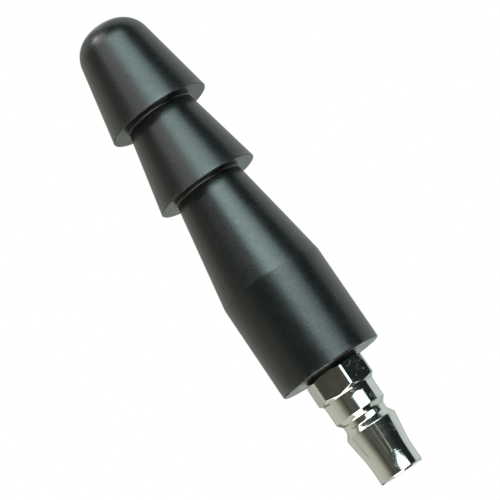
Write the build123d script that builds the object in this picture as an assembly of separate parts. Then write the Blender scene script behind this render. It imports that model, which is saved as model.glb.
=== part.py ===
from build123d import *

import os
from math import cos, hypot, pi, radians, sin, sqrt, tan

# A stepped push-fit adapter: a black body with three tiers, screwed onto a chromed
# quick-coupler plug. The frame is upright, in millimetres: the origin is the centre of the
# plug's nose end, and +Z runs up the common axis to the domed tip.

# Coupler plug, from the nose end up. Heights are above the nose end.
bore_radius = 3.75
bore_chamfer = 0.3
nose_radius = 5.80
nose_chamfer = 0.25
nose_height = 6.25
lead_radius = 6.62
lead_height = 11.35
collar_radius = 6.82
collar_height = 13.05
groove_foot_radius = 6.74
groove_foot = 13.65
groove_side_radius = 5.95
groove_root_radius = 5.75
groove_floor = 14.75
groove_roof = 16.6
groove_height = 17.75
neck_radius = 6.82
neck_height = 22.5
flare_height = 23.05  # the neck widens to the hexagon here

# Hexagon, 9/16 inch across flats, its corners blunted, with a turned chamfer at each end
hex_flats = 14.3
hex_corner_radius = 8.08
hex_bottom = 23.33
hex_top = 29.4
hex_chamfer_angle = 30.0
hex_turn = 44.0  # angle of one corner about the axis, from +X

# Screw thread between the plug and the insert: 19 turns to the inch, 55 degree form
thread_pitch = 1.337
thread_half_angle = 27.5
thread_crest_radius = 6.50
thread_root_radius = 5.64
thread_crest_flat = 0.20
thread_gap = 0.10  # between the flanks
thread_radial_gap = 0.13  # between each tip and the other part's root
thread_overlap = 0.06  # how far a swept ridge reaches into the solid that it joins
thread_start = 29.45  # height of the plug's ridge at +X, below its first full turn
thread_run = 15.0
relief_radius = 5.30
relief_top = 31.25
shank_top = 40.4

# Seal ring, round section, on the relief above the hexagon
seal_ring_radius = 6.43
seal_cord_radius = 0.70
seal_gap = 0.02

# Threaded insert moulded into the body
insert_bottom = 30.69
insert_length = 12.0
insert_radius = 8.5
insert_groove_radius = 7.9
insert_groove_width = 2.4
insert_mouth_radius = 6.90
knurl_depth = 0.35
knurl_count = 48

# Black body. Heights in this group are above its flat base.
base_height = 30.0  # the base above the nose end
barrel_radius = 13.58
barrel_length = 25.85
tier_radius = 13.40
lower_tier = 53.6
upper_tier = 75.1
tip_length = 102.3
lower_root_radius = 8.98
upper_root_radius = 8.92
root_fillet = 0.4
rim_round = 0.2
dome_angle = 10.58  # half angle of the top tier's cone
dome_radius = 12.69
dome_corner_radius = 7.60
recess_radius = 7.35  # round the hexagon's end and the seal
pocket_radius = 5.9  # clear space past the insert
pocket_depth = 17.5
drill_angle = 59.0


def revolved(points):
    """A solid turned about Z from a closed outline of (radius, height) points."""
    outline = Polyline(*[(radius, 0, height) for radius, height in points], close=True)
    return revolve(make_face(outline), axis=Axis.Z)


def turned(*edges):
    """A solid turned about Z from edges that already close an outline in the XZ plane."""
    return revolve(make_face(Wire(list(edges))), axis=Axis.Z)


def at(radius, height):
    return Vector(radius, 0, height)


def run(*points):
    """Straight edges through the points, in order."""
    return Polyline(*points).edges()


def thread_ridge(tip, root, tip_width, start):
    """One right-hand helical ridge, from a root radius out or in to the radius of its tip."""
    half_tip = tip_width / 2
    half_root = half_tip + tan(radians(thread_half_angle)) * abs(tip - root)
    section = make_face(
        Polyline(
            (tip, 0, start + half_tip),
            (root, 0, start + half_root),
            (root, 0, start - half_root),
            (tip, 0, start - half_tip),
            close=True,
        )
    )
    path = Helix(thread_pitch, thread_run, root, center=(0, 0, start))
    return sweep(section, path=path, is_frenet=True)


def male_thread():
    """The plug's threaded shank: a plain core, and the ridge trimmed to a chamfered envelope."""
    depth = thread_crest_radius - relief_radius + thread_overlap
    envelope = revolved(
        [
            (0, relief_top),
            (relief_radius, relief_top),
            (relief_radius + depth, relief_top + depth),
            (relief_radius + depth, shank_top - depth),
            (relief_radius, shank_top),
            (0, shank_top),
        ]
    )
    ridge = thread_ridge(
        thread_crest_radius,
        thread_root_radius - thread_overlap,
        thread_crest_flat,
        thread_start,
    )
    step = thread_root_radius - relief_radius
    core = revolved(
        [
            (0, hex_top),
            (relief_radius, hex_top),
            (relief_radius, relief_top),
            (thread_root_radius, relief_top + step),
            (thread_root_radius, shank_top - step),
            (relief_radius, shank_top),
            (0, shank_top),
        ]
    )
    return core + (ridge & envelope)


def plug_nose():
    """Nose, tapered lead, collar, ball groove and neck, as one turned solid."""
    below = run(
        at(0, 0),
        at(nose_radius - nose_chamfer, 0),
        at(nose_radius, nose_chamfer),
        at(nose_radius, nose_height),
        at(lead_radius, lead_height),
        at(collar_radius, collar_height),
        at(groove_foot_radius, groove_foot),
        at(groove_side_radius, groove_floor),
    )
    groove = ThreePointArc(
        at(groove_side_radius, groove_floor),
        at(groove_root_radius, (groove_floor + groove_roof) / 2),
        at(groove_side_radius, groove_roof),
    ).edges()
    above = run(
        at(groove_side_radius, groove_roof),
        at(neck_radius, groove_height),
        at(neck_radius, neck_height),
        at(hex_flats / 2, flare_height),
        at(hex_flats / 2, hex_bottom),
        at(0, hex_bottom),
        at(0, 0),
    )
    return turned(*below, *groove, *above)


def plug_hexagon():
    """Hexagon prism with blunt corners, cut back by a cone at each end."""
    flat = hex_flats / 2
    drop = (hex_corner_radius - flat) * tan(radians(hex_chamfer_angle))
    blank = Pos(0, 0, hex_bottom) * extrude(
        RegularPolygon(flat, 6, major_radius=False, rotation=hex_turn),
        hex_top - hex_bottom,
    )
    turned_blank = revolved(
        [
            (0, hex_bottom),
            (flat, hex_bottom),
            (hex_corner_radius, hex_bottom + drop),
            (hex_corner_radius, hex_top - drop),
            (flat, hex_top),
            (0, hex_top),
        ]
    )
    return blank & turned_blank


def coupler_plug():
    """Chromed plug: nose, hexagon and threaded shank with one bore right through."""
    solid = plug_nose() + plug_hexagon() + male_thread()
    # The bore's outline runs past both ends, so that its chamfers cut clean through them.
    flare = bore_radius + 2 * bore_chamfer
    bore = revolved(
        [
            (0, -bore_chamfer),
            (flare, -bore_chamfer),
            (bore_radius, bore_chamfer),
            (bore_radius, shank_top - bore_chamfer),
            (flare, shank_top + bore_chamfer),
            (0, shank_top + bore_chamfer),
        ]
    )
    return solid - bore


def seal_ring():
    """Round-section ring that rests on the hexagon's upper face."""
    height = hex_top + seal_cord_radius + seal_gap
    return Pos(0, 0, height) * Torus(seal_ring_radius, seal_cord_radius)


def knurl_outline():
    """Outline of a straight knurl: ridges and grooves by turns."""
    points = []
    for index in range(2 * knurl_count):
        radius = insert_radius - knurl_depth * (index % 2)
        angle = pi * index / knurl_count
        points.append((radius * cos(angle), radius * sin(angle)))
    return make_face(Polyline(*points, close=True))


def threaded_insert():
    """Brass insert: two knurled bands with a groove between them, threaded inside."""
    top = insert_bottom + insert_length
    middle = (insert_bottom + top) / 2
    band = (insert_length - insert_groove_width) / 2
    lower = Pos(0, 0, insert_bottom) * extrude(knurl_outline(), band)
    upper = Pos(0, 0, top - band) * extrude(knurl_outline(), band)
    waist = Pos(0, 0, middle) * Cylinder(insert_groove_radius, insert_groove_width)
    root = thread_crest_radius + thread_radial_gap
    tip = thread_root_radius + thread_radial_gap
    ring = lower + waist + upper - Pos(0, 0, middle) * Cylinder(root, insert_length + 2)
    slope = tan(radians(thread_half_angle))
    plug_width = thread_crest_flat + 2 * slope * (thread_crest_radius - tip)
    flank_gap = thread_gap / cos(radians(thread_half_angle))
    tip_width = thread_pitch - plug_width - 2 * flank_gap
    ridge = thread_ridge(tip, root + thread_overlap, tip_width, thread_start + thread_pitch / 2)
    inner = tip - thread_overlap
    depth = insert_mouth_radius - inner
    mouths = revolved(
        [
            (insert_mouth_radius, insert_bottom),
            (insert_mouth_radius, top),
            (inner, top - depth),
            (inner, insert_bottom + depth),
        ]
    )
    chamfer = insert_mouth_radius - root
    lead = revolved(
        [
            (0, insert_bottom),
            (insert_mouth_radius, insert_bottom),
            (root, insert_bottom + chamfer),
            (0, insert_bottom + chamfer),
        ]
    )
    return ring - lead + (ridge & mouths)


def dome_corner():
    """Centre of the arc that blends the top tier's cone into its spherical end."""
    tilt = radians(dome_angle)
    sphere_height = base_height + tip_length - dome_radius
    foot_height = base_height + upper_tier
    # The centre lies on a line parallel to the cone, inside it by the arc's radius.
    radius_0 = tier_radius - dome_corner_radius * cos(tilt)
    height_0 = foot_height - dome_corner_radius * sin(tilt)
    # Walk up that line to the point that lies the two radii's difference from the sphere.
    reach = dome_radius - dome_corner_radius
    rise = height_0 - sphere_height
    along = radius_0 * sin(tilt) - rise * cos(tilt)
    away = radius_0**2 + rise**2 - reach**2
    step = along + sqrt(along**2 - away)
    return radius_0 - step * sin(tilt), height_0 + step * cos(tilt)


def body_outline():
    """Half outline of the black body in the XZ plane, closed along the axis."""
    tilt = radians(dome_angle)
    tip = base_height + tip_length
    sphere_height = tip - dome_radius
    corner_radius, corner_height = dome_corner()
    cone_end = at(
        corner_radius + dome_corner_radius * cos(tilt),
        corner_height + dome_corner_radius * sin(tilt),
    )
    spread = hypot(corner_radius, corner_height - sphere_height)
    toward_r = corner_radius / spread
    toward_z = (corner_height - sphere_height) / spread
    arc_end = at(toward_r * dome_radius, sphere_height + toward_z * dome_radius)
    half_r = cos(tilt) + toward_r
    half_z = sin(tilt) + toward_z
    half = hypot(half_r, half_z)
    arc_middle = at(
        corner_radius + dome_corner_radius * half_r / half,
        corner_height + dome_corner_radius * half_z / half,
    )
    cap_r = toward_r
    cap_z = toward_z + 1
    cap = hypot(cap_r, cap_z)
    cap_middle = at(dome_radius * cap_r / cap, sphere_height + dome_radius * cap_z / cap)
    sides = run(
        at(0, base_height),
        at(barrel_radius, base_height),
        at(barrel_radius, base_height + barrel_length),
        at(lower_root_radius, base_height + lower_tier),
        at(tier_radius, base_height + lower_tier),
        at(upper_root_radius, base_height + upper_tier),
        at(tier_radius, base_height + upper_tier),
        cone_end,
    )
    corner = ThreePointArc(cone_end, arc_middle, arc_end).edges()
    end = ThreePointArc(arc_end, cap_middle, at(0, tip)).edges()
    return make_face(Wire([*sides, *corner, *end, *run(at(0, tip), at(0, base_height))]))


def circles(solid, height, low, high):
    """The solid's circular edges at one height whose radius is between two limits."""
    found = []
    for edge in solid.edges().filter_by(GeomType.CIRCLE):
        level = edge.center(CenterOf.BOUNDING_BOX).Z
        if abs(level - height) < 0.01 and low < edge.radius < high:
            found.append(edge)
    return found


def stepped_body():
    """Black body with its three tiers, and the pocket that holds the insert."""
    solid = revolve(body_outline(), axis=Axis.Z)
    tiers = (base_height + lower_tier, base_height + upper_tier)
    for height in (base_height, *tiers):
        rims = circles(solid, height, tier_radius - 1, barrel_radius + 1)
        solid = fillet(rims, rim_round)
    for height in tiers:
        roots = circles(solid, height, 0, tier_radius - 2)
        solid = fillet(roots, root_fillet)
    insert_top = insert_bottom + insert_length
    pocket_top = base_height + pocket_depth
    pocket = revolved(
        [
            (0, base_height - 1),
            (recess_radius, base_height - 1),
            (recess_radius, insert_bottom),
            (insert_radius, insert_bottom),
            (insert_radius, insert_top),
            (pocket_radius, insert_top),
            (pocket_radius, pocket_top),
            (0, pocket_top + pocket_radius / tan(radians(drill_angle))),
        ]
    )
    return solid - pocket


def main():
    os.makedirs("parts", exist_ok=True)
    export_step(coupler_plug(), "parts/coupler_plug.step")
    export_step(seal_ring(), "parts/seal_ring.step")
    export_step(threaded_insert(), "parts/threaded_insert.step")
    export_step(stepped_body(), "parts/stepped_body.step")


main()
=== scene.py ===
from math import cos, degrees, pi, radians, sin, sqrt, tan

import bpy
import numpy as np
from mathutils import Matrix, Vector


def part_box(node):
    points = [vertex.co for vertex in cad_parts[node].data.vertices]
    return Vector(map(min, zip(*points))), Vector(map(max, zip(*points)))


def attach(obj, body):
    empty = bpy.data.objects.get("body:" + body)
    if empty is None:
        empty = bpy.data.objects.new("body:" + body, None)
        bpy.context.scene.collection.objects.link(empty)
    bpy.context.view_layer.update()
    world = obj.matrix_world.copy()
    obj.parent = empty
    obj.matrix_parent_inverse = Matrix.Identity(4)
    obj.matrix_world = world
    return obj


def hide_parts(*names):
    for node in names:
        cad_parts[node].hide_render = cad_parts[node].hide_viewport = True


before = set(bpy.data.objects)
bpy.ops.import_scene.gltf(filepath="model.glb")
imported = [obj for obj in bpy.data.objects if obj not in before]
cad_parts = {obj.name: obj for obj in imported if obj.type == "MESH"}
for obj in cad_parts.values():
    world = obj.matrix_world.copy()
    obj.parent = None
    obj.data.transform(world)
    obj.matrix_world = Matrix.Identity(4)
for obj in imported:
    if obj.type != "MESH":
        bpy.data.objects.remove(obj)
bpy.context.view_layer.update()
print("frame loaded:", ", ".join(sorted(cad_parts)))

mm = 0.001
bodyLow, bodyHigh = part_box("stepped_body")
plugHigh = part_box("coupler_plug")[1]
sealLow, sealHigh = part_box("seal_ring")
insertLow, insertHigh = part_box("threaded_insert")
baseZ = bodyLow.z / mm  # flat base of the black body, in mm above the nose end


# Outlines are (radius, height) rows in mm, turned about Z later. A straight run from a to b
# is a + t * (b - a), with one point close to each end, so that the shading of a rounded
# corner stays on the corner. Neither end is included.
def straightRun(a, b, step=0.8, guard=0.07):
    a, b = np.array(a, float), np.array(b, float)
    length = np.hypot(*(b - a))
    if length < 3 * guard:
        return np.zeros((0, 2))
    inner = np.linspace(guard, length - guard, max(2, int(length / step) + 1))
    return a + (b - a) * (inner / length)[:, None]


# Arc: centre + radius * (cos angle, sin angle), both ends included
def arcRun(centre, radius, start, end, count=9):
    angle = np.linspace(start, end, count)
    return np.array(centre) + radius * np.stack([np.cos(angle), np.sin(angle)], 1)


# Straight runs through (radius, height, rounding) corners. A rounded corner is an arc that
# touches both runs: its centre lies on the bisector, rounding / sin(half angle) away.
def roundedOutline(corners, step=0.8, count=8):
    rows = [np.array([corners[0][:2]], float)]
    tail = rows[0][0]
    for before, here, after in zip(corners[:-2], corners[1:-1], corners[2:]):
        point = np.array(here[:2], float)
        inward = np.array(before[:2]) - point
        onward = np.array(after[:2]) - point
        inward = inward / np.hypot(*inward)
        onward = onward / np.hypot(*onward)
        half = np.arccos(np.clip(inward @ onward, -1, 1)) / 2
        rounding = here[2]
        arc = point[None]
        if rounding > 0:
            bisector = inward + onward
            centre = point + bisector / np.hypot(*bisector) * rounding / np.sin(half)
            first = point + inward * rounding / np.tan(half) - centre
            last = point + onward * rounding / np.tan(half) - centre
            start = np.arctan2(first[1], first[0])
            sweep = np.arctan2(last[1], last[0]) - start
            sweep = (sweep + pi) % (2 * pi) - pi
            arc = arcRun(centre, rounding, start, start + sweep, count)
        rows.append(straightRun(tail, arc[0], step))
        rows.append(arc)
        tail = arc[-1]
    end = np.array(corners[-1][:2], float)
    rows.append(straightRun(tail, end, step))
    rows.append(end[None])
    return np.vstack(rows)


# Convex turning of an outline, spread over `reach` mm along it: the sum over corners of
# turn angle * exp(-(distance / reach)^2), held to 1. Concave turning the same way.
def cornerMask(rows, reach, convex=True):
    steps = np.diff(rows, axis=0)
    lengths = np.hypot(steps[:, 0], steps[:, 1])
    along = np.concatenate([[0], np.cumsum(lengths)])
    heading = np.unwrap(np.arctan2(steps[:, 1], steps[:, 0]))
    turn = np.diff(heading) * (1 if convex else -1)
    apart = np.abs(along[:, None] - along[None, 1:-1])
    spread = np.exp(-((apart / reach) ** 2)) * np.maximum(turn, 0)[None, :]
    return np.clip(spread.sum(1), 0, 1)


# Smaller of two radii with the crease between them rounded: (a + b - sqrt((a - b)^2 + k^2)) / 2
def softMin(a, b, k):
    return (a + b - np.sqrt((a - b) ** 2 + k * k)) / 2


# Larger of two radii, rounded the same way: (a + b + sqrt((a - b)^2 + k^2)) / 2
def softMax(a, b, k):
    return (a + b + np.sqrt((a - b) ** 2 + k * k)) / 2


# Height of a triangle wave of the given period, 0 to 1
def triangleWave(x, period):
    return np.abs(((x / period) % 1) - 0.5) * 2


# Distance in mm along Z from the middle of a right-hand helical ridge:
# the ridge's middle is at height start + pitch * angle / turn
def ridgeDistance(height, angle, start, pitch):
    turns = (height - start) / pitch - angle / (2 * pi)
    return np.abs((turns + 0.5) % 1 - 0.5) * pitch


# A surface on a grid of rows and columns, closed round the columns. Looped rows close on
# themselves into a ring. Otherwise a fan of triangles closes each end at its middle point.
def gridSurface(name, points, looped=False, masks=None):
    rows, columns = points.shape[:2]
    here = np.arange(rows * columns).reshape(rows, columns)
    vertices = points.reshape(-1, 3)
    if looped:
        lower, upper = here, np.roll(here, -1, 0)
    else:
        lower, upper = here[:-1], here[1:]
    quads = np.stack([lower, np.roll(lower, -1, 1), np.roll(upper, -1, 1), upper], -1)
    faces = quads.reshape(-1, 4).tolist()
    if not looped:
        first, last = len(vertices), len(vertices) + 1
        vertices = np.vstack([vertices, points[[0, -1]].mean(1)])
        firstFan = np.stack([np.full(columns, first), np.roll(here[0], -1), here[0]], -1)
        lastFan = np.stack([np.full(columns, last), here[-1], np.roll(here[-1], -1)], -1)
        faces += firstFan.tolist() + lastFan.tolist()
    mesh = bpy.data.meshes.new(name)
    mesh.from_pydata((vertices * mm).tolist(), [], faces)
    mesh.shade_smooth()
    for key, values in (masks or {}).items():
        layer = mesh.attributes.new(key, "FLOAT", "POINT")
        flat = np.broadcast_to(values, (rows, columns)).reshape(-1)
        if not looped:
            flat = np.concatenate([flat, flat[[0, -1]]])
        layer.data.foreach_set("value", flat.astype(np.float32))
    mesh.update()
    piece = bpy.data.objects.new(name, mesh)
    bpy.context.scene.collection.objects.link(piece)
    print(name, "has", len(mesh.polygons), "faces")
    return piece


# Turns radii and heights into points: (r cos angle, r sin angle, height)
def turnedPoints(radii, heights, angles):
    radii, heights, angles = np.broadcast_arrays(radii, heights, angles)
    return np.stack([radii * np.cos(angles), radii * np.sin(angles), heights], -1)


# Gives a piece its finish and the body it moves with, and hides the CAD node it stands for
def placePiece(piece, body, node, finish):
    piece.data.materials.append(finish)
    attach(piece, body)
    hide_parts(node)


# Black body: sizes in mm, heights above its base, angles in degrees
bodyShape = {
    "columns": 224,
    "barrelLength": 25.85,
    "lowerTier": 53.6,
    "upperTier": 75.1,
    "tierRadius": 13.40,
    "lowerRoot": 8.98,
    "upperRoot": 8.92,
    "rootFillet": 0.4,
    "rimRound": 0.2,
    "baseRound": 0.45,
    "shoulderRound": 3.0,  # where the taper meets the barrel
    "coneAngle": 10.58,  # half angle of the top tier
    "domeRadius": 12.69,
    "domeCorner": 7.6,
    "cornerRows": 22,
    "domeRows": 18,
    "recessRadius": 7.35,
    "recessDepth": 0.69,
    "mouthRound": 0.12,
    "pocketRadius": 8.5,
    "pocketDepth": 12.69,
    "pocketRound": 0.1,
    "drillRadius": 5.9,
    "drillDepth": 17.5,
    "drillAngle": 59.0,
    "drillPoint": 0.05,
    "rimReach": 0.7,  # how far wear and dust spread along the outline from an edge
    "rootReach": 1.6,
}


# Arcs of the domed tip. The corner arc touches the cone and lies inside the sphere by the
# difference of their radii, so its centre is that far from the sphere's centre.
def domeRows(s, tip):
    tilt = radians(s["coneAngle"])
    sphereHeight = tip - s["domeRadius"]
    footRadius = s["tierRadius"] - s["domeCorner"] * cos(tilt)
    footRise = baseZ + s["upperTier"] - s["domeCorner"] * sin(tilt) - sphereHeight
    along = footRadius * sin(tilt) - footRise * cos(tilt)
    away = footRadius**2 + footRise**2 - (s["domeRadius"] - s["domeCorner"]) ** 2
    step = along + sqrt(along**2 - away)
    cornerRadius = footRadius - step * sin(tilt)
    cornerRise = footRise + step * cos(tilt)
    meet = np.arctan2(cornerRise, cornerRadius)
    centre = (cornerRadius, sphereHeight + cornerRise)
    corner = arcRun(centre, s["domeCorner"], tilt, meet, s["cornerRows"])
    end = arcRun((0, sphereHeight), s["domeRadius"], meet, pi / 2, s["domeRows"])
    return np.vstack([corner, end[1:-1]])


# From the drill point in the pocket, down and out through the recess, up the outside to the tip
def bodyOutline(s):
    barrel = bodyHigh.x / mm
    tip = bodyHigh.z / mm
    drillEnd = s["drillDepth"] + s["drillRadius"] / tan(radians(s["drillAngle"]))
    inside = s["pocketRound"]
    dome = domeRows(s, tip)
    corners = [
        (s["drillPoint"], drillEnd, 0),
        (s["drillRadius"], s["drillDepth"], inside),
        (s["drillRadius"], s["pocketDepth"], inside),
        (s["pocketRadius"], s["pocketDepth"], inside),
        (s["pocketRadius"], s["recessDepth"], inside / 2),
        (s["recessRadius"], s["recessDepth"], inside / 2),
        (s["recessRadius"], 0, s["mouthRound"]),
        (barrel, 0, s["baseRound"]),
        (barrel, s["barrelLength"], s["shoulderRound"]),
        (s["lowerRoot"], s["lowerTier"], s["rootFillet"]),
        (s["tierRadius"], s["lowerTier"], s["rimRound"]),
        (s["upperRoot"], s["upperTier"], s["rootFillet"]),
        (s["tierRadius"], s["upperTier"], s["rimRound"]),
        (dome[0][0], dome[0][1] - baseZ, 0),
    ]
    rows = roundedOutline(corners) + (0, baseZ)
    return np.vstack([rows, dome[1:]])


# The outline turned about Z, with masks for its rims, its inner corners and the way into
# the base, which the black finish paints in flat shade
def makeBody(s):
    rows = bodyOutline(s)
    angles = np.arange(s["columns"]) * 2 * pi / s["columns"]
    points = turnedPoints(rows[:, :1], rows[:, 1:], angles[None, :])
    narrow = rows[:, :1] < s["recessRadius"] + 0.01
    inside = narrow & (rows[:, 1:] < baseZ + s["drillDepth"])
    masks = {
        "rim": cornerMask(rows, s["rimReach"])[:, None] * ~inside,
        "root": cornerMask(rows, s["rootReach"], convex=False)[:, None],
        # painted shade: marks the recess and pocket, which the black finish fills with a dark shade
        # colour
        "recess": inside.astype(float),
    }
    return gridSurface("stepped_body_shell", points, masks=masks)


# Chromed plug: sizes and heights in mm, angles in degrees
plugShape = {
    "columnsPerSide": 34,
    "boreRadius": 3.75,
    "boreChamfer": 0.3,
    # nose end to neck: radius, height, rounding
    "nose": [
        (5.53, 0, 0.08),  # end face
        (5.83, 0.4, 0.2),
        (5.74, 2.7, 42),  # faint waist
        (5.84, 6.2, 24),  # lead cone
        (6.82, 13.3, 0.22),  # collar
        (5.75, 14.9, 0.8),  # groove for the socket's balls
        (5.75, 16.45, 0.9),
        (6.82, 17.65, 0.12),  # neck
        (6.82, 21.6, 8),
        (6.895, 22.35, 0),
    ],
    "flare": [(6.897, 22.37, 0), (6.965, 23.13, 1.2)],  # fillet up to the hexagon
    "flatRadius": 7.15,  # half of 14.3 mm across flats
    "cornerRadius": 8.08,
    "hexBottom": 23.33,
    "hexTop": 29.4,
    "hexTurn": 44.0,
    "chamferAngle": 30.0,
    "edgeSoftness": 0.085,
    "reliefRadius": 5.3,
    "reliefTop": 31.25,
    "threadRoot": 5.64,
    "threadCrest": 6.5,
    "threadCrestFlat": 0.2,
    "threadStart": 29.45,
    "threadSoftness": 0.07,
    "endSoftness": 0.05,
    "noseStep": 0.5,  # longest steps between rows
    "hexStep": 0.12,
    "threadStep": 0.075,
    "boreStep": 2.5,
    "rimReach": 0.3,
    "cornerReach": 0.12,
}
thread = {"pitch": 1.337, "halfAngle": radians(27.5)}


# Columns crowd towards the hexagon's corners: angle = middle + 30 deg * g(u), where
# g(u) = 0.8 sin(pi u / 2) + 0.2 u and u runs from -1 to 1 along each side
def hexColumns(perSide, turn):
    u = -1 + 2 * np.arange(perSide) / perSide
    side = 30 * (0.8 * np.sin(pi * u / 2) + 0.2 * u) + 30
    return np.radians((turn + 60 * np.arange(6)[:, None] + side[None, :]).ravel())


# Radius of a hexagon with round corners: flat / cos(angle from the side's middle),
# no more than the corner radius
def hexRadius(angles, s):
    local = (angles - radians(s["hexTurn"])) % (pi / 3) - pi / 6
    return softMin(s["flatRadius"] / np.cos(local), s["cornerRadius"], s["edgeSoftness"])


# Chamfered mouth of the bore, then the nose
def plugNoseCorners(s):
    mouth = [(s["boreRadius"], s["boreChamfer"], 0), (s["boreRadius"] + s["boreChamfer"], 0, 0.05)]
    return mouth + s["nose"]


# Chamfers at the chamfer angle from the flats out to the corners, at both ends
def hexCorners(s):
    drop = (s["cornerRadius"] - s["flatRadius"]) * tan(radians(s["chamferAngle"]))
    wide = s["cornerRadius"] + s["edgeSoftness"]
    return s["flare"] + [
        (wide, s["hexBottom"] + drop, 0.03),
        (wide, s["hexTop"] - drop, 0.03),
        (s["flatRadius"], s["hexTop"], 0),
    ]


# Radius of the threaded shank: root + ridge, its flanks at the thread's half angle, held
# inside a cone at each end
def shankRadius(height, angle, s, top):
    apart = ridgeDistance(height, angle, s["threadStart"], thread["pitch"])
    slope = 1 / tan(thread["halfAngle"])
    ridge = s["threadCrest"] - (apart - s["threadCrestFlat"] / 2) * slope
    ridge = softMin(ridge, s["threadCrest"], s["threadSoftness"])
    ridge = softMax(ridge, s["threadRoot"], s["threadSoftness"])
    lowCone = s["reliefRadius"] + (height - s["reliefTop"])
    highCone = s["reliefRadius"] + (top - height)
    return softMin(ridge, softMin(lowCone, highCone, 0.02), s["endSoftness"])


# A closed ring of rows: nose and neck, hexagon, relief, threaded shank, and back down the bore
def makePlug(s):
    top = plugHigh.z / mm
    angles = hexColumns(s["columnsPerSide"], s["hexTurn"])[None, :]
    nose = roundedOutline(plugNoseCorners(s), step=s["noseStep"])
    hexRows = roundedOutline(hexCorners(s), step=s["hexStep"], count=10)
    reliefFoot = (s["reliefRadius"], s["hexTop"])
    shoulder = straightRun((s["flatRadius"], s["hexTop"]), reliefFoot, 0.5)
    relief = np.array([reliefFoot, (s["reliefRadius"], s["reliefTop"])])
    heights = np.arange(s["reliefTop"], top, s["threadStep"])[1:]
    shank = np.stack([np.full(len(heights), s["threadCrest"]), heights], 1)
    endCorners = [
        (s["reliefRadius"], top, 0),
        (s["boreRadius"] + s["boreChamfer"], top, 0.05),
        (s["boreRadius"], top - s["boreChamfer"], 0.1),
        (s["boreRadius"], s["boreChamfer"] + 0.05, 0),
    ]
    bore = roundedOutline(endCorners, step=s["boreStep"])
    rows = np.vstack([nose, hexRows, shoulder, relief, shank, bore])
    radii = np.repeat(rows[:, :1], angles.shape[1], 1)
    hexSpan = slice(len(nose), len(nose) + len(hexRows))
    hexSide = hexRadius(angles, s)
    radii[hexSpan] = softMin(radii[hexSpan], hexSide, s["edgeSoftness"])
    shankStart = hexSpan.stop + len(shoulder) + len(relief)
    shankSpan = slice(shankStart, shankStart + len(shank))
    radii[shankSpan] = shankRadius(heights[:, None], angles, s, top)
    points = turnedPoints(radii, rows[:, 1:], angles)
    hexMask = np.zeros((len(rows), 1))
    hexMask[hexSpan] = 1
    corner = np.exp(-(((s["cornerRadius"] - hexSide) / s["cornerReach"]) ** 2))
    rim = cornerMask(rows, s["rimReach"])[:, None]
    rim = np.where(hexMask > 0, np.maximum(rim * 0.4, corner), rim)
    masks = {"rim": rim, "hexagon": hexMask}
    return gridSurface("coupler_plug_chrome", points, looped=True, masks=masks)


# Seal ring: sizes in mm
sealShape = {"columns": 160, "rows": 40, "seamHeight": 0.02, "seamWidth": 0.06}


# Torus: ring radius R and cord radius a from the frame's box,
# radius R + a cos(t), height middle + a sin(t), with a fine mould seam at mid height
def makeSeal(s):
    cord = (sealHigh.z - sealLow.z) / 2 / mm
    ring = sealHigh.x / mm - cord
    middle = (sealHigh.z + sealLow.z) / 2 / mm
    t = np.arange(s["rows"])[:, None] * 2 * pi / s["rows"]
    angles = np.arange(s["columns"])[None, :] * 2 * pi / s["columns"]
    seam = s["seamHeight"] * (np.exp(-((np.sin(t) / s["seamWidth"]) ** 2)) - 1)
    points = turnedPoints(ring + (cord + seam) * np.cos(t), middle + cord * np.sin(t), angles)
    return gridSurface("seal_ring_cord", points, looped=True)


# Brass insert: sizes in mm
insertShape = {
    "columns": 288,
    "knurls": 48,
    "knurlDepth": 0.35,
    "grooveRadius": 7.9,
    "grooveWidth": 2.4,
    "grooveRound": 0.1,
    "endRound": 0.15,
    "mouthRadius": 6.9,
    "tipRadius": 5.77,
    "rootRadius": 6.63,
    "threadGap": 0.1,
    "threadSoftness": 0.05,
    "mouthSoftness": 0.03,
    "skinStep": 0.6,
    "threadStep": 0.09,
}


# Outside: radius - depth * triangle wave round the knurled bands. Inside: the plug's ridge
# turned inside out, its tips half a pitch along, opened by a 45 degree cone at each end.
def makeInsert(s):
    low, high = insertLow.z / mm, insertHigh.z / mm
    wide = insertHigh.x / mm
    middle, half = (low + high) / 2, s["grooveWidth"] / 2
    angles = np.arange(s["columns"])[None, :] * 2 * pi / s["columns"]
    outer = [
        (s["mouthRadius"], low, 0),
        (wide, low, s["endRound"]),
        (wide, middle - half, s["grooveRound"]),
        (s["grooveRadius"], middle - half, s["grooveRound"]),
        (s["grooveRadius"], middle + half, s["grooveRound"]),
        (wide, middle + half, s["grooveRound"]),
        (wide, high, s["endRound"]),
        (s["mouthRadius"], high, 0),
    ]
    skin = roundedOutline(outer, step=s["skinStep"], count=5)
    heights = np.arange(high - 0.02, low, -s["threadStep"])[:, None]
    radii = np.repeat(skin[:, :1], s["columns"], 1)
    knurl = triangleWave(angles, 2 * pi / s["knurls"]) * s["knurlDepth"]
    radii = np.minimum(radii, np.maximum(wide - knurl, s["grooveRadius"]))
    slope = 1 / tan(thread["halfAngle"])
    crest, flat = plugShape["threadCrest"], plugShape["threadCrestFlat"]
    plugWidth = flat + 2 * (crest - s["tipRadius"]) / slope
    tipWidth = thread["pitch"] - plugWidth - 2 * s["threadGap"] / cos(thread["halfAngle"])
    start = plugShape["threadStart"] + thread["pitch"] / 2
    apart = ridgeDistance(heights, angles, start, thread["pitch"])
    bore = s["tipRadius"] + (apart - tipWidth / 2) * slope
    bore = softMax(bore, s["tipRadius"], s["threadSoftness"])
    bore = softMin(bore, s["rootRadius"], s["threadSoftness"])
    mouth = s["mouthRadius"] - np.minimum(heights - low, high - heights)
    bore = softMax(bore, mouth, s["mouthSoftness"])
    outside = turnedPoints(radii, skin[:, 1:], angles)
    inside = turnedPoints(bore, heights, angles)
    return gridSurface("threaded_insert_brass", np.vstack([outside, inside]), looped=True)


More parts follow.
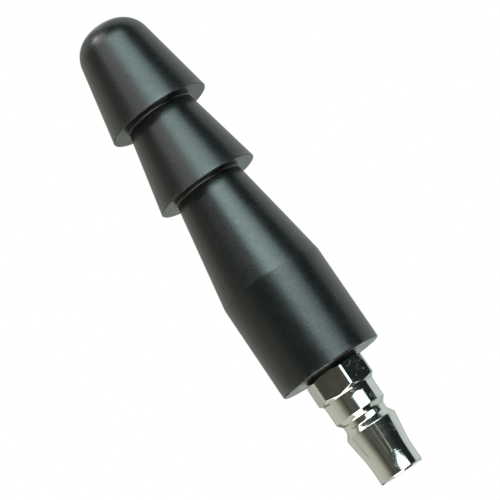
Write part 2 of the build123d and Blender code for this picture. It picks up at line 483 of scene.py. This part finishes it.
# One shader value. Arithmetic on it adds Math nodes to its tree.
class Value:
    def __init__(self, finish, socket):
        self.finish = finish
        self.socket = socket

    def math(self, operation, *others):
        sockets = {0: self}
        sockets.update({index + 1: other for index, other in enumerate(others)})
        return self.finish.add("ShaderNodeMath", {"operation": operation}, sockets)

    def swapped(self, operation, other):
        return self.finish.add("ShaderNodeMath", {"operation": operation}, {0: other, 1: self})

    def __add__(self, other):
        return self.math("ADD", other)

    def __radd__(self, other):
        return self.swapped("ADD", other)

    def __sub__(self, other):
        return self.math("SUBTRACT", other)

    def __rsub__(self, other):
        return self.swapped("SUBTRACT", other)

    def __mul__(self, other):
        return self.math("MULTIPLY", other)

    def __rmul__(self, other):
        return self.swapped("MULTIPLY", other)

    def __truediv__(self, other):
        return self.math("DIVIDE", other)

    def __pow__(self, other):
        return self.math("POWER", other)

    def clipped(self):
        return self.math("MINIMUM", 1.0).math("MAXIMUM", 0.0)


# A material, or the world, built node by node
class Finish:
    def __init__(self, holder):
        holder.use_nodes = True
        self.holder = holder
        self.tree = holder.node_tree
        self.tree.nodes.clear()

    # Adds a node: its settings first, then socket values or links. Returns one output.
    def add(self, kind, settings=None, sockets=None, output=0):
        node = self.tree.nodes.new(kind)
        for key, value in (settings or {}).items():
            if key == "stops":
                self.setStops(node.color_ramp, value)
            else:
                setattr(node, key, value)
        for key, value in (sockets or {}).items():
            if isinstance(value, Value):
                self.tree.links.new(value.socket, node.inputs[key])
            else:
                node.inputs[key].default_value = value
        return Value(self, node.outputs[output]) if len(node.outputs) else node

    def setStops(self, ramp, stops):
        while len(ramp.elements) < len(stops):
            ramp.elements.new(0.5)
        for element, (place, colour) in zip(ramp.elements, stops):
            element.position = place
            element.color = colour

    # 0 to 1 as the value goes from low to high, with soft ends
    def ramp(self, value, low, high):
        settings = {"interpolation_type": "SMOOTHSTEP"}
        sockets = {"Value": value, "From Min": low, "From Max": high}
        return self.add("ShaderNodeMapRange", settings, sockets)

    # The piece's own coordinates, stretched and turned
    def place(self, scale=(1, 1, 1), turn=(0, 0, 0), shift=(0, 0, 0)):
        where = self.add("ShaderNodeTexCoord", output="Object")
        sockets = {"Vector": where, "Scale": scale, "Rotation": turn, "Location": shift}
        return self.add("ShaderNodeMapping", None, sockets)

    # Noise with features about `size` mm across
    def noise(self, size, detail=2.0, rough=0.5, stretch=(1, 1, 1), turn=(0, 0, 0), shift=(0, 0, 0)):
        scale = tuple(1 / (size * mm * side) for side in stretch)
        where = self.place(scale, turn, shift)
        sockets = {"Vector": where, "Scale": 1.0, "Detail": detail, "Roughness": rough}
        return self.add("ShaderNodeTexNoise", None, sockets)

    # Thin broken streaks: stretched noise, kept only near its middle value and in patches
    def scratches(self, width, length, turn, amount, shift=(0, 0, 0)):
        streak = self.noise(1, 1.0, 0.5, (width, width, length), turn, shift)
        line = 1 - self.ramp((streak - 0.5).math("ABSOLUTE"), 0.0, 0.02)
        patch = self.noise(length * 1.5, 2.0, 0.6, shift=(shift[0] + 3, 7, 1))
        return line * self.ramp(patch, 1 - amount, 1.04 - amount)

    def mask(self, name):
        return self.add("ShaderNodeAttribute", {"attribute_name": name}, output="Fac")

    def blend(self, factor, first, second):
        settings = {"data_type": "RGBA", "blend_type": "MIX"}
        return self.add("ShaderNodeMix", settings, {0: factor, 6: first, 7: second}, output=2)

    def bump(self, height, strength, distance, under=None):
        sockets = {"Height": height, "Strength": strength, "Distance": distance * mm}
        if under:
            sockets["Normal"] = under
        return self.add("ShaderNodeBump", None, sockets)

    # Ends the material with a shader, or with a Principled shader made from its sockets
    def close(self, shader):
        if isinstance(shader, dict):
            shader = self.add("ShaderNodeBsdfPrincipled", None, shader)
        self.add("ShaderNodeOutputMaterial", None, {"Surface": shader})
        return self.holder


# Linear colours; grain and depths in mm
satinBlack = {
    "colour": (0.0030, 0.0040, 0.0042, 1),
    "cloud": (0.0060, 0.0068, 0.0066, 1),  # slow paler patches
    "worn": (0.040, 0.042, 0.042, 1),
    "dust": (0.10, 0.10, 0.09, 1),
    # painted shade: a near black colour for the inside of the base recess and pocket, where shade
    # falls
    "paintedShade": (0.0012, 0.0012, 0.0012, 1),  # inside the base recess
    "roughness": 0.30,
    "grain": 0.34,
    "grainDepth": 0.009,
    "mottleDepth": 0.045,
    "ringDepth": 0.010,
    "scuffDepth": 0.006,
}


def makeSatinBlack(s):
    f = Finish(bpy.data.materials.new("satin_black_body"))
    grain = f.noise(s["grain"], 3.0, 0.55)
    slow = f.noise(9.0, 3.0, 0.6, shift=(2, 5, 3))
    smudge = f.noise(3.5, 4.0, 0.65, shift=(8, 1, 4))
    mottle = f.noise(1, 3.0, 0.6, (1.5, 1.5, 0.6), shift=(4, 4, 1))
    rings = f.noise(1, 2.0, 0.5, (14, 14, 0.30))
    scuffs = f.scratches(0.25, 9.0, (0.5, 0.3, 0), 0.36)
    hairs = f.scratches(0.16, 14.0, (1.2, 0.4, 0.7), 0.36, (4, 2, 9))
    rim = f.mask("rim") * f.ramp(f.noise(1.3, 4.0, 0.7, shift=(1, 1, 6)), 0.36, 0.66)
    root = f.mask("root") * f.ramp(f.noise(0.9, 3.0, 0.6, shift=(5, 2, 8)), 0.40, 0.75)
    marks = (scuffs * 0.5 + hairs * 0.4).clipped()
    colour = f.blend(f.ramp(slow, 0.3, 0.7) * 0.35, s["colour"], s["cloud"])
    colour = f.blend((rim * 0.5 + marks * 0.35).clipped(), colour, s["worn"])
    colour = f.blend(root * 0.12, colour, s["dust"])
    rough = s["roughness"] + (smudge - 0.5) * 0.12 + (mottle - 0.5) * 0.16
    rough = rough + (grain - 0.5) * 0.12 - rim * 0.06 + marks * 0.12
    relief = f.bump(mottle, 0.5, s["mottleDepth"])
    relief = f.bump(grain, 0.6, s["grainDepth"], relief)
    relief = f.bump(rings, 0.35, s["ringDepth"], relief)
    relief = f.bump(1 - marks, 0.5, s["scuffDepth"], relief)
    sockets = {"Base Color": colour, "Roughness": rough, "Normal": relief}
    satin = f.add("ShaderNodeBsdfPrincipled", None, sockets)
    # painted shade: inside the recess and pocket a dark diffuse colour replaces the satin finish
    matt = f.add("ShaderNodeBsdfDiffuse", None, {"Color": s["paintedShade"]})
    recess = f.mask("recess")
    return f.close(f.add("ShaderNodeMixShader", None, {0: recess, 1: satin, 2: matt}))


brightChrome = {
    "colour": (0.56, 0.565, 0.55, 1),
    "stain": (0.40, 0.37, 0.32, 1),
    "roughness": 0.06,
    "pitsPerMetre": 1900,
    "peelDepth": 0.010,  # mm
    "latheDepth": 0.002,
    "markDepth": 0.012,
}


def makeBrightChrome(s):
    f = Finish(bpy.data.materials.new("bright_chrome_plug"))
    peel = f.noise(0.9, 2.0, 0.5)
    smudge = f.noise(2.2, 4.0, 0.65, shift=(3, 6, 2))
    fine = f.noise(0.12, 2.0, 0.5, shift=(9, 1, 1))
    lathe = f.noise(1, 2.0, 0.5, (20, 20, 0.10), shift=(2, 2, 2))
    along = f.scratches(0.10, 4.0, (0.2, 0.1, 0), 0.42)
    across = f.scratches(0.09, 5.0, (1.3, 0.5, 0.2), 0.40, (6, 3, 2))
    cells = {"Vector": f.place((s["pitsPerMetre"],) * 3), "Scale": 1.0}
    pits = 1 - f.ramp(f.add("ShaderNodeTexVoronoi", None, cells), 0.14, 0.34)
    patchy = f.ramp(f.noise(1.6, 3.0, 0.6, shift=(7, 7, 3)), 0.46, 0.62)
    pits = pits * (patchy * 0.6 + f.mask("hexagon") * 0.35).clipped()
    marks = (along * 0.6 + across * 0.6).clipped()
    rim = f.mask("rim") * f.ramp(f.noise(0.7, 3.0, 0.7, shift=(1, 4, 4)), 0.35, 0.7)
    stain = f.ramp(smudge, 0.55, 0.8) * 0.25 + pits * 0.35
    colour = f.blend(stain.clipped(), s["colour"], s["stain"])
    rough = s["roughness"] + f.ramp(smudge, 0.35, 0.75) * 0.05 + marks * 0.16
    rough = rough + pits * 0.2 + rim * 0.05
    relief = f.bump(peel, 0.35, s["peelDepth"])
    relief = f.bump(lathe, 0.2, s["latheDepth"], relief)
    relief = f.bump(fine * 0.4 - marks * 0.7 - pits * 1.2, 0.7, s["markDepth"], relief)
    return f.close({"Base Color": colour, "Roughness": rough, "Metallic": 1.0, "Normal": relief})


sealRubber = {
    "colour": (0.006, 0.006, 0.0065, 1),
    "bloom": (0.035, 0.035, 0.034, 1),
    "roughness": 0.62,
    "specular": 0.08,
    "grainDepth": 0.006,  # mm
}


def makeSealRubber(s):
    f = Finish(bpy.data.materials.new("black_seal_rubber"))
    grain = f.noise(0.08, 3.0, 0.6)
    bloom = f.ramp(f.noise(1.1, 3.0, 0.6, shift=(2, 3, 4)), 0.5, 0.8)
    colour = f.blend(bloom * 0.25, s["colour"], s["bloom"])
    rough = s["roughness"] + (grain - 0.5) * 0.2 + bloom * 0.1
    relief = f.bump(grain, 0.4, s["grainDepth"])
    sockets = {"Base Color": colour, "Roughness": rough, "Normal": relief}
    sockets["Specular IOR Level"] = s["specular"]
    return f.close(sockets)


turnedBrass = {
    "colour": (0.72, 0.52, 0.24, 1),
    "tarnish": (0.33, 0.20, 0.08, 1),
    "roughness": 0.22,
    "ringDepth": 0.003,  # mm
}


def makeTurnedBrass(s):
    f = Finish(bpy.data.materials.new("turned_brass_insert"))
    rings = f.noise(1, 2.0, 0.5, (20, 20, 0.12))
    tarnish = f.ramp(f.noise(1.8, 4.0, 0.65, shift=(3, 3, 1)), 0.45, 0.75)
    colour = f.blend(tarnish * 0.4, s["colour"], s["tarnish"])
    rough = s["roughness"] + tarnish * 0.15 + (rings - 0.5) * 0.1
    relief = f.bump(rings, 0.3, s["ringDepth"])
    return f.close({"Base Color": colour, "Roughness": rough, "Metallic": 1.0, "Normal": relief})


viewShape = {
    "lens": 137.47,
    "roll": 34.16,  # degrees, the object leans to the upper left
    "lookUp": 8.894,
    "distance": 463.0,  # mm, from the aim point
    "aim": (-0.26, 0.0, 64.79),
}


# Looks along +Y tilted up by lookUp, rolled about its own axis by roll
def makeCamera(s):
    data = bpy.data.cameras.new("camera")
    camera = bpy.data.objects.new("camera", data)
    bpy.context.scene.collection.objects.link(camera)
    data.lens = s["lens"]
    data.sensor_width = 36
    data.clip_start = 0.01
    data.clip_end = 20
    up, roll = radians(s["lookUp"]), radians(s["roll"])
    forward = Vector((0, cos(up), sin(up)))
    level = Vector((0, -sin(up), cos(up)))
    right = Vector((1, 0, 0)) * cos(roll) - level * sin(roll)
    top = level * cos(roll) + Vector((1, 0, 0)) * sin(roll)
    turn = Matrix((right, top, -forward)).transposed().to_4x4()
    spot = (Vector(s["aim"]) - forward * s["distance"]) * mm
    camera.matrix_world = Matrix.Translation(spot) @ turn
    bpy.context.scene.camera = camera


floorShape = {
    "rings": (0.02, 0.1, 0.3, 0.6, 1.0, 1.6),  # radii in metres
    "columns": 64,
    "fadeStart": 0.35,
    "fadeEnd": 1.3,
    "colour": (0.82, 0.78, 0.775, 1),
}


# A pale disc that is seen only from above, and fades into the white backdrop further out
def makeFloor(s):
    rings = np.array(s["rings"])[:, None] / mm
    angles = np.arange(s["columns"])[None, :] * 2 * pi / s["columns"]
    points = turnedPoints(rings, 0, angles)
    here = np.arange(rings.size * s["columns"]).reshape(rings.size, s["columns"])
    lower, upper = here[:-1], here[1:]
    quads = np.stack([lower, upper, np.roll(upper, -1, 1), np.roll(lower, -1, 1)], -1)
    faces = [here[0].tolist()] + quads.reshape(-1, 4).tolist()
    mesh = bpy.data.meshes.new("floor")
    mesh.from_pydata((points.reshape(-1, 3) * mm).tolist(), [], faces)
    floor = bpy.data.objects.new("floor", mesh)
    bpy.context.scene.collection.objects.link(floor)
    f = Finish(bpy.data.materials.new("pale_floor"))
    where = f.add("ShaderNodeTexCoord", output="Object")
    reach = f.add("ShaderNodeVectorMath", {"operation": "LENGTH"}, {0: where}, output="Value")
    fade = f.ramp(reach, s["fadeStart"], s["fadeEnd"])
    matt = f.add("ShaderNodeBsdfDiffuse", None, {"Color": s["colour"]})
    glow = f.add("ShaderNodeEmission", None, {"Color": (1, 1, 1, 1), "Strength": 1.0})
    shown = f.add("ShaderNodeMixShader", None, {0: fade, 1: matt, 2: glow})
    clear = f.add("ShaderNodeBsdfTransparent")
    underside = f.add("ShaderNodeNewGeometry", output="Backfacing")
    oneSided = f.add("ShaderNodeMixShader", None, {0: underside, 1: shown, 2: clear})
    f.add("ShaderNodeOutputMaterial", None, {"Surface": oneSided})
    mesh.materials.append(f.holder)
    floor.visible_glossy = False


# Degrees: azimuth from the camera's side towards +X, and height. Each edge is a place and
# half the width of its soft ramp.
roomLight = {
    # dim front of the room, behind the camera: azimuth and colour
    "front": [
        (-90, (0.74, 0.75, 0.61, 1)),
        (-70, (0.66, 0.67, 0.55, 1)),
        (-60, (0.47, 0.48, 0.39, 1)),
        (-50, (0.26, 0.26, 0.21, 1)),
        (-42, (0.145, 0.145, 0.115, 1)),
        (-34, (0.080, 0.078, 0.058, 1)),
        (-27, (0.135, 0.138, 0.112, 1)),
        (-10, (0.125, 0.128, 0.104, 1)),
        (0, (0.10, 0.10, 0.085, 1)),
        (25, (0.085, 0.085, 0.075, 1)),
        (55, (0.022, 0.028, 0.028, 1)),
        (90, (0.022, 0.030, 0.030, 1)),
    ],
    "frontDimming": 0.5,
    "frontDimAbove": (7.5, 4.5),
    # two light stands below the lamps
    "stands": [
        {"left": (-6, 2), "right": (0, 2), "top": (-5, 3), "colour": (0.27, 0.26, 0.25, 1)},
        {"left": (16, 1), "right": (21, 1), "top": (-5, 3), "colour": (0.56, 0.66, 0.61, 1)},
    ],
    # white sweep behind the object
    "sweep": {
        "edge": (95.5, 1),
        "left": (0.77, 0.78, 0.69, 1),
        "right": (0.86, 0.95, 0.90, 1),
        "corner": (144, 6),
        "cornerDimming": 0.32,
        "back": (167, 5),
        "backColour": (1.15, 1.20, 1.12, 1),
        "low": (-8.25, 2.25),
        "lowLeft": (0.26, 0.27, 0.22, 1),
        "lowRight": (0.50, 0.63, 0.58, 1),
        "floor": (-29, 7),
        "floorColour": (0.78, 0.82, 0.76, 1),
    },
    "fill": {
        "left": (-52, 5),
        "right": (-2, 8),
        "bottom": (34.5, 3),
        "top": (78, 6),
        "colour": (3.3, 3.3, 3.2, 1),
    },
    "key": {
        "colour": (6.5, 8.6, 8.5, 1),
        "lowColour": (3.8, 5.0, 4.9, 1),
        "left": (10, 9),
        "right": (57, 2),
        "top": (43, 17),
        "foot": (32, -2),  # point of the shallow V along its lower edge
        "slope": 0.19,
        "leftLean": 0.40,  # degrees that each edge moves left for each degree of height
        "rightLean": 0.12,
        "bright": 22,  # dimming starts here towards the right edge
        "falloff": 0.5,
    },
    "spot": {"azimuth": -61, "height": 64.4, "spread": 7.5, "colour": (10, 11.5, 11.2, 1)},
    "under": {
        "left": (-70, 8),
        "right": (28, 5),
        "bottom": (-86, 2),
        "top": (-36, 6),
        "colour": (4.6, 4.4, 3.8, 1),
    },
}


# The room by direction. Each light is a patch of it with soft edges: the product of one ramp
# for each edge. The camera itself sees white.
def makeRoom(s):
    world = bpy.data.worlds.new("room")
    bpy.context.scene.world = world
    f = Finish(world)
    black = (0, 0, 0, 1)
    way = f.add("ShaderNodeTexCoord", output="Generated")
    parts = f.add("ShaderNodeSeparateXYZ", None, {0: way}).socket.node.outputs
    x, y, z = (Value(f, parts[axis]) for axis in "XYZ")
    azimuth = x.math("ARCTAN2", y * -1) * degrees(1)
    height = z.math("ARCSINE") * degrees(1)
    turned = azimuth.math("ABSOLUTE")

    def past(value, edge):
        place, soft = edge
        return f.ramp(value, place - soft, place + soft)

    def between(value, low, high):
        return past(value, low) * (1 - past(value, high))

    stops = [((at + 90) / 180, colour) for at, colour in s["front"]]
    room = f.add("ShaderNodeValToRGB", {"stops": stops}, {"Fac": (azimuth + 90) / 180})
    room = f.blend(past(height, s["frontDimAbove"]) * s["frontDimming"], room, black)
    for stand in s["stands"]:
        patch = between(azimuth, stand["left"], stand["right"]) * (1 - past(height, stand["top"]))
        room = f.blend(patch, room, stand["colour"])

    wide = s["sweep"]
    side = f.ramp(x, -0.3, 0.3)
    sweep = f.blend(side, wide["left"], wide["right"])
    sweep = f.blend(past(turned, wide["corner"]) * wide["cornerDimming"], sweep, black)
    sweep = f.blend(past(turned, wide["back"]), sweep, wide["backColour"])
    low = f.blend(side, wide["lowLeft"], wide["lowRight"])
    sweep = f.blend(1 - past(height, wide["low"]), sweep, low)
    sweep = f.blend(1 - past(height, wide["floor"]), sweep, wide["floorColour"])
    room = f.blend(past(turned, wide["edge"]), room, sweep)

    fill = s["fill"]
    patch = between(azimuth, fill["left"], fill["right"])
    patch = patch * between(height, fill["bottom"], fill["top"])
    room = f.blend(patch, room, fill["colour"])

    key = s["key"]
    footAt, footHeight = key["foot"]
    foot = (azimuth - footAt).math("ABSOLUTE") * key["slope"] + footHeight
    leaned = azimuth + height * key["rightLean"]
    patch = past(azimuth + height * key["leftLean"], key["left"])
    patch = patch * (1 - past(leaned, key["right"])) * (1 - past(height, key["top"]))
    patch = patch * f.ramp(height - foot, -1, 1)
    glow = f.blend(f.ramp(height, -5, 30), key["lowColour"], key["colour"])
    dimming = f.ramp(leaned, key["bright"], key["right"][0]) * key["falloff"]
    room = f.blend(patch, room, f.blend(dimming, glow, black))

    # round patch: squared distance from its middle, azimuth shrunk by cos(height)
    spot = s["spot"]
    squeeze = cos(radians(spot["height"]))
    away = (height - spot["height"]) ** 2 + ((azimuth - spot["azimuth"]) * squeeze) ** 2
    reach = spot["spread"] ** 2
    room = f.blend(1 - f.ramp(away, 0.5 * reach, 1.5 * reach), room, spot["colour"])

    under = s["under"]
    patch = between(azimuth, under["left"], under["right"])
    patch = patch * between(height, under["bottom"], under["top"])
    room = f.blend(patch, room, under["colour"])

    seen = f.add("ShaderNodeLightPath", output="Is Camera Ray")
    shown = f.blend(seen, room, (1.0, 1.0, 1.0, 1))
    sky = f.add("ShaderNodeBackground", None, {"Color": shown, "Strength": 1.0})
    f.add("ShaderNodeOutputWorld", None, {"Surface": sky})


makeCamera(viewShape)
makeRoom(roomLight)
makeFloor(floorShape)
bpy.context.scene.view_settings.view_transform = "Standard"
print("camera, room and floor made")

body, plug = makeBody(bodyShape), makePlug(plugShape)
seal, insert = makeSeal(sealShape), makeInsert(insertShape)
placePiece(body, "handle", "stepped_body", makeSatinBlack(satinBlack))
placePiece(plug, "coupler", "coupler_plug", makeBrightChrome(brightChrome))
placePiece(seal, "seal", "seal_ring", makeSealRubber(sealRubber))
placePiece(insert, "handle", "threaded_insert", makeTurnedBrass(turnedBrass))
print("pieces placed")
